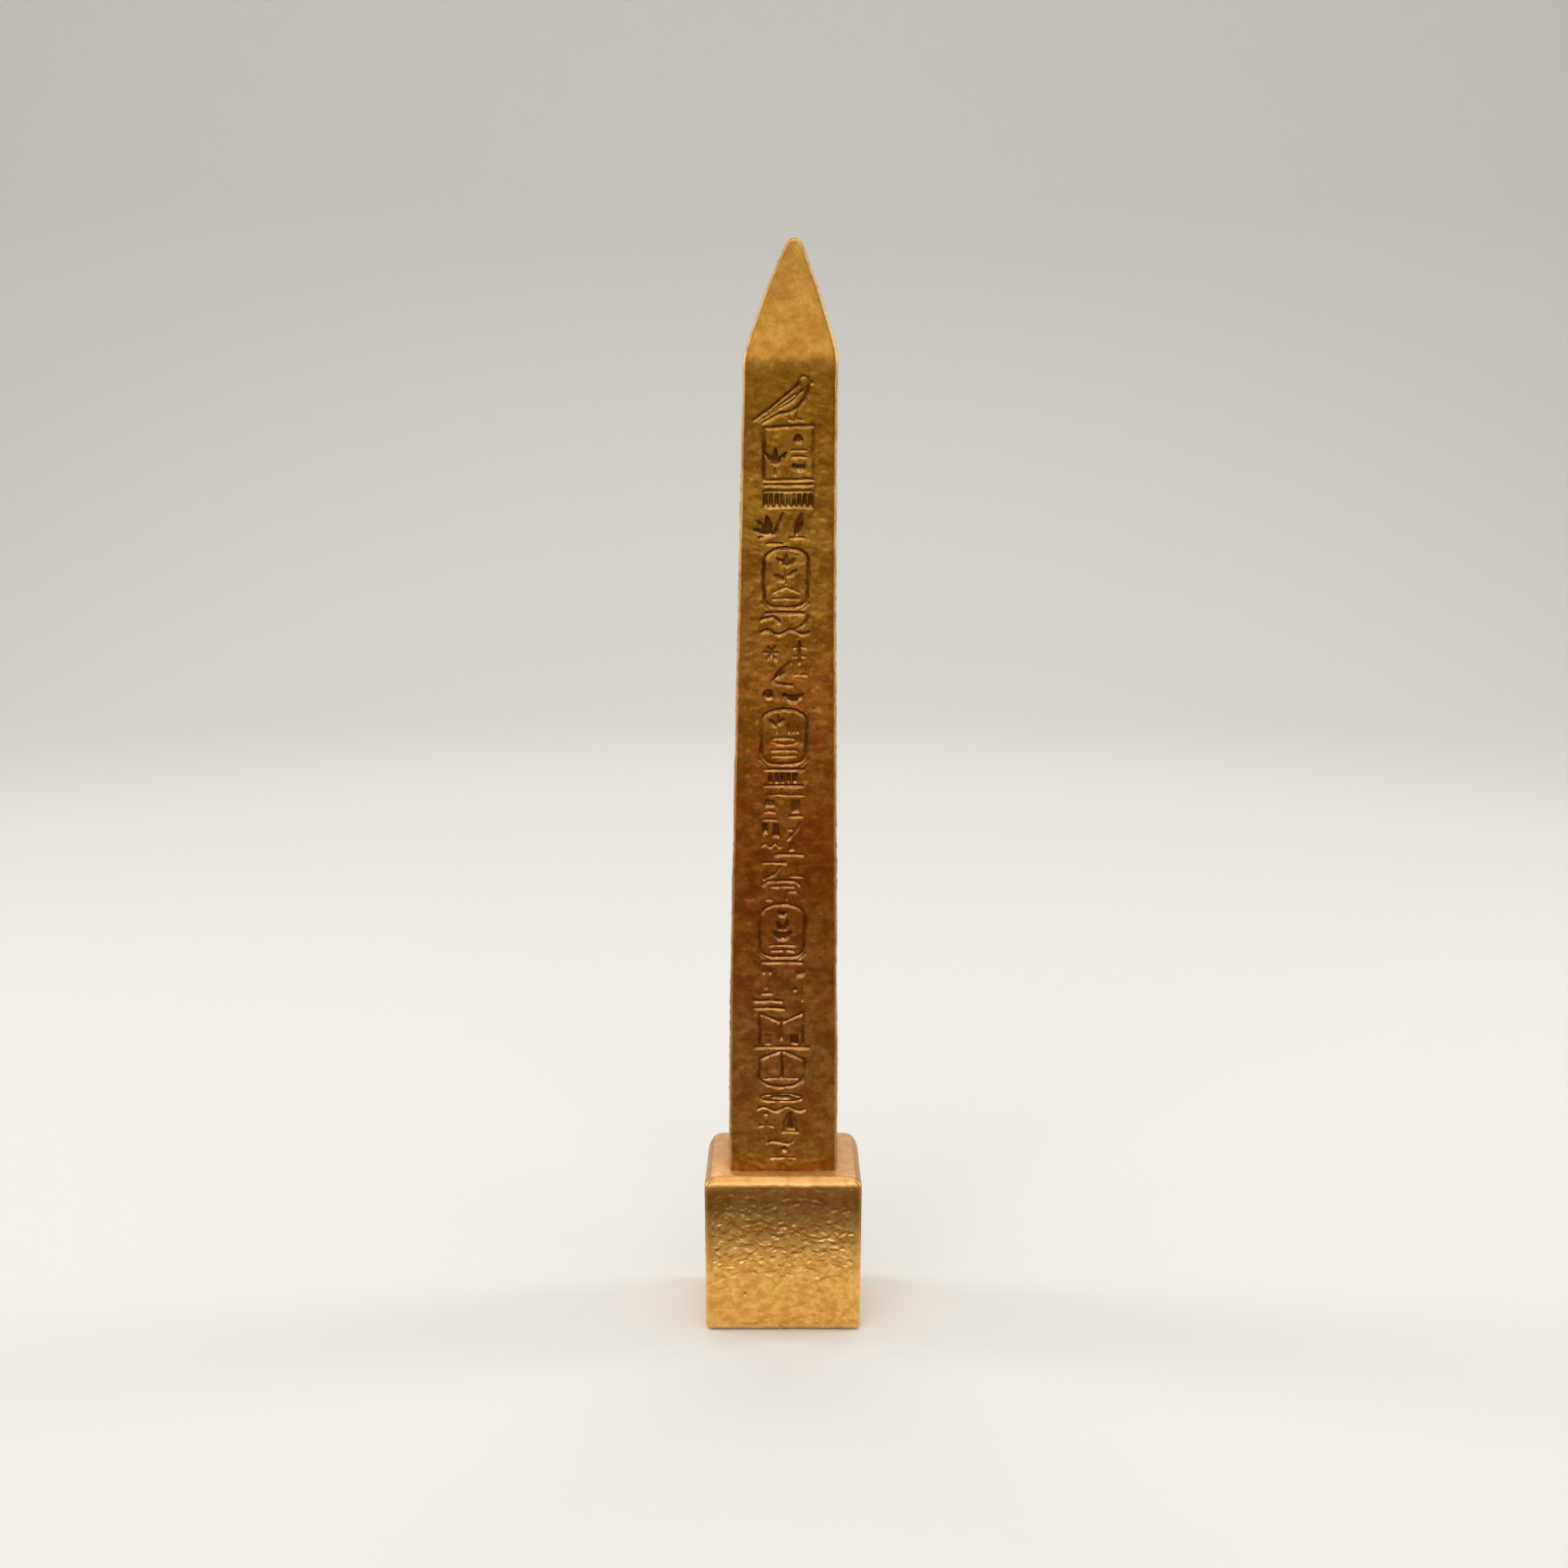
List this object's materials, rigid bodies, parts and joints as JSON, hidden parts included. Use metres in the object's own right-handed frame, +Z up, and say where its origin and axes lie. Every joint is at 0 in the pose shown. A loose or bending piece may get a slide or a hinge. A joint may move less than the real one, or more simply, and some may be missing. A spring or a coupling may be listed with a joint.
{
  "type": "desk model of an obelisk",
  "caption": "Small cast brass model of an obelisk: a tapered, slightly leaning square shaft with a pyramid point, screwed from below onto a rough cube plinth.",
  "frame": {"origin": "centre of the plinth's underside", "axes": "+Z up the obelisk; -Y is the front; +X is the front's right, which the shaft leans towards"},
  "size_m": [0.0364, 0.0364, 0.25],
  "materials": {
    "shaft_brass": "satin cast skin, darkened in the carving",
    "plinth_brass": "rough cast skin, rubbed bright along the edges",
    "screw_steel": "plated, dull"
  },
  "bodies": {
    "root": {"shaft": "shaft_brass", "base_block": "plinth_brass", "fixing_screw": "screw_steel", "screw_washer": "screw_steel"}
  },
  "joints": []
}
